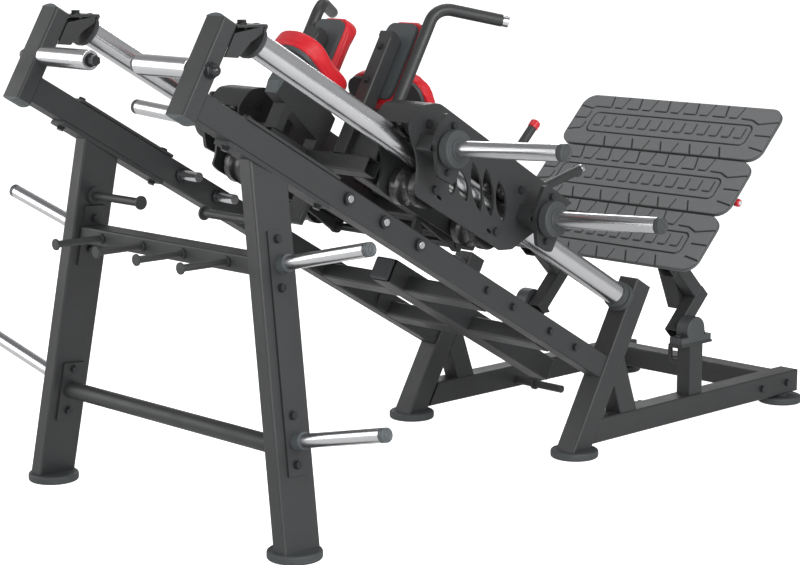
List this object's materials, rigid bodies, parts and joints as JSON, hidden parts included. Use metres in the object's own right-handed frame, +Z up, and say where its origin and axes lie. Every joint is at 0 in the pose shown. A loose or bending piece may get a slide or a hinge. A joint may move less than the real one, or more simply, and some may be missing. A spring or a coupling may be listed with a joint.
{
  "type": "leg press machine",
  "caption": "Plate-loaded hack squat and leg press machine: padded sled on two inclined chrome rods, tilting tread foot plate, weight horns, storage horns and band pegs.",
  "frame": {"origin": "centre of the footprint's bounding box, on the floor", "axes": "+X towards the foot plate end, +Y to the user's left, +Z up"},
  "size_m": [2.7202, 1.8608, 1.4261],
  "materials": {
    "powder_coat": "charcoal fine-texture powder coat",
    "sled_paint": "charcoal fine-texture powder coat on the sled",
    "chrome": "polished hard chrome",
    "fasteners": "black oxide bolts and nuts",
    "rubber": "moulded black rubber",
    "plastic": "blue-grey moulded plastic",
    "upholstery": "red synthetic leather",
    "boards": "grey moulded backing boards",
    "rollers": "black cast polyurethane",
    "slats": "grey moulded foot plate slats",
    "red_plastic": "red moulded plastic",
    "cast": "painted cast iron"
  },
  "bodies": {
    "frame": {"inclined_rails": "powder_coat", "head_blocks": "powder_coat", "plastic_caps": "plastic", "rod_top_brackets": "powder_coat", "guide_rods": "chrome", "rubber_buffers": "rubber", "front_posts": "powder_coat", "rear_uprights": "powder_coat", "base_rails": "powder_coat", "crossbars": "powder_coat", "cross_members": "powder_coat", "bolted_plates": "powder_coat", "centre_spine": "powder_coat", "band_pegs": "powder_coat", "stop_pins": "chrome", "storage_horns": "chrome", "head_sleeves": "chrome", "pillow_blocks": "cast", "floor_feet": "rubber", "frame_fasteners": "fasteners"},
    "sled": {"backrest_pad": "upholstery", "backrest_strut": "sled_paint", "grip_tips": "chrome", "handles": "sled_paint", "head_covers": "sled_paint", "headrest_pad": "upholstery", "headrest_support": "sled_paint", "horn_brackets": "sled_paint", "horn_rubbers": "rubber", "pad_boards": "boards", "roller_axles": "fasteners", "seat_pad": "upholstery", "shoulder_pad_left": "upholstery", "shoulder_pad_right": "upholstery", "shoulder_posts": "sled_paint", "side_plates_inner": "sled_paint", "side_plates_outer": "sled_paint", "sled_caps": "plastic", "sled_cross_members": "sled_paint", "sled_fasteners": "fasteners", "sled_spine": "sled_paint", "weight_horns": "chrome"},
    "lock": {"lock_shaft": "fasteners", "lock_hooks": "sled_paint", "release_levers": "sled_paint", "lever_tips": "red_plastic"},
    "foot_plate": {"slat_bottom": "slats", "slat_middle": "slats", "slat_top": "slats", "slat_carriers": "powder_coat", "footplate_arms": "powder_coat"},
    "adjuster_pin": {"pull_pin": "red_plastic"},
    "roller_lower_foot_left": {"roller_lower_foot_left": "rollers"},
    "roller_lower_foot_right": {"roller_lower_foot_right": "rollers"},
    "roller_lower_head_left": {"roller_lower_head_left": "rollers"},
    "roller_lower_head_right": {"roller_lower_head_right": "rollers"},
    "roller_upper_foot_left": {"roller_upper_foot_left": "rollers"},
    "roller_upper_foot_right": {"roller_upper_foot_right": "rollers"},
    "roller_upper_head_left": {"roller_upper_head_left": "rollers"},
    "roller_upper_head_right": {"roller_upper_head_right": "rollers"}
  },
  "joints": [
    {"name": "sled_slide", "type": "slide", "parent": "frame", "child": "sled", "axis": [-0.866, 0, 0.5], "range_m": [-0.38, 0.38]},
    {"name": "lock_swing", "type": "hinge", "parent": "sled", "child": "lock", "pos_m": [-0.22646, 0, 0.70693], "axis": [0, -1, 0], "range_deg": [0, 28]},
    {"name": "foot_plate_tilt", "type": "hinge", "parent": "frame", "child": "foot_plate", "pos_m": [0.77895, 0, 0.325], "axis": [0, 1, 0], "range_deg": [-8, 8]},
    {"name": "pin_pull", "type": "slide", "parent": "foot_plate", "child": "adjuster_pin", "axis": [0, -1, 0], "range_m": [0, 0.012], "stiffness_N_per_m": 1500},
    {"name": "roller_lower_foot_left_spin", "type": "hinge", "parent": "sled", "child": "roller_lower_foot_left", "pos_m": [-0.24703, 0.365, 0.76731], "axis": [0, 1, 0], "range_deg": [-510, 510]},
    {"name": "roller_lower_foot_right_spin", "type": "hinge", "parent": "sled", "child": "roller_lower_foot_right", "pos_m": [-0.24703, -0.365, 0.76731], "axis": [0, 1, 0], "range_deg": [-510, 510]},
    {"name": "roller_lower_head_left_spin", "type": "hinge", "parent": "sled", "child": "roller_lower_head_left", "pos_m": [-0.49558, 0.365, 0.9108], "axis": [0, 1, 0], "range_deg": [-510, 510]},
    {"name": "roller_lower_head_right_spin", "type": "hinge", "parent": "sled", "child": "roller_lower_head_right", "pos_m": [-0.49558, -0.365, 0.9108], "axis": [0, 1, 0], "range_deg": [-510, 510]},
    {"name": "roller_upper_foot_left_spin", "type": "hinge", "parent": "sled", "child": "roller_upper_foot_left", "pos_m": [-0.13999, 0.365, 0.87871], "axis": [0, 1, 0], "range_deg": [-660, 660]},
    {"name": "roller_upper_foot_right_spin", "type": "hinge", "parent": "sled", "child": "roller_upper_foot_right", "pos_m": [-0.13999, -0.365, 0.87871], "axis": [0, 1, 0], "range_deg": [-660, 660]},
    {"name": "roller_upper_head_left_spin", "type": "hinge", "parent": "sled", "child": "roller_upper_head_left", "pos_m": [-0.52104, 0.365, 1.09871], "axis": [0, 1, 0], "range_deg": [-660, 660]},
    {"name": "roller_upper_head_right_spin", "type": "hinge", "parent": "sled", "child": "roller_upper_head_right", "pos_m": [-0.52104, -0.365, 1.09871], "axis": [0, 1, 0], "range_deg": [-660, 660]}
  ],
  "couplings": [
    {"joint": "roller_lower_foot_left_spin", "follows": "sled_slide", "rad_per_m": 22.883},
    {"joint": "roller_lower_foot_right_spin", "follows": "sled_slide", "rad_per_m": 22.883},
    {"joint": "roller_lower_head_left_spin", "follows": "sled_slide", "rad_per_m": 22.883},
    {"joint": "roller_lower_head_right_spin", "follows": "sled_slide", "rad_per_m": 22.883},
    {"joint": "roller_upper_foot_left_spin", "follows": "sled_slide", "rad_per_m": -29.674},
    {"joint": "roller_upper_foot_right_spin", "follows": "sled_slide", "rad_per_m": -29.674},
    {"joint": "roller_upper_head_left_spin", "follows": "sled_slide", "rad_per_m": -29.674},
    {"joint": "roller_upper_head_right_spin", "follows": "sled_slide", "rad_per_m": -29.674}
  ]
}
